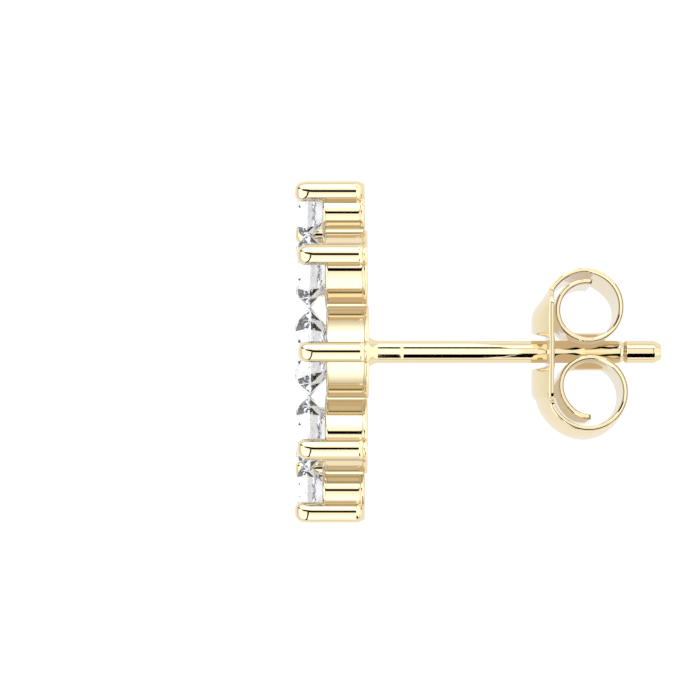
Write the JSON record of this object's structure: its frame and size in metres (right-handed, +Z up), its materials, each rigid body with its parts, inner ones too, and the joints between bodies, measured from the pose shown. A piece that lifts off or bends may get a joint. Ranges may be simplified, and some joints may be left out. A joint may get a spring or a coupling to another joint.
{
  "type": "ear climber",
  "caption": "Arc of round brilliant-cut stones in pronged baskets, on an ear post with a butterfly clutch that slides off its end.",
  "frame": {"origin": "on the surface that the earring rests on, under the middle of its bounding box", "axes": "+X from the stones towards the post's end, +Y along the arc, +Z up from the surface, on the arc's outer side"},
  "size_m": [0.014, 0.0128, 0.0056],
  "materials": {
    "gold": "polished pale yellow gold plating",
    "clear_stone": "polished facets"
  },
  "bodies": {
    "earring": {"setting": "gold", "stone_1": "clear_stone", "stone_2": "clear_stone", "stone_3": "clear_stone", "stone_4": "clear_stone", "stone_5": "clear_stone"},
    "clutch": {"clutch": "gold"}
  },
  "joints": [
    {"name": "clutch_slide", "type": "slide", "parent": "earring", "child": "clutch", "axis": [0.994, 0, -0.1089], "range_m": [-0.0059, 0.006]}
  ]
}
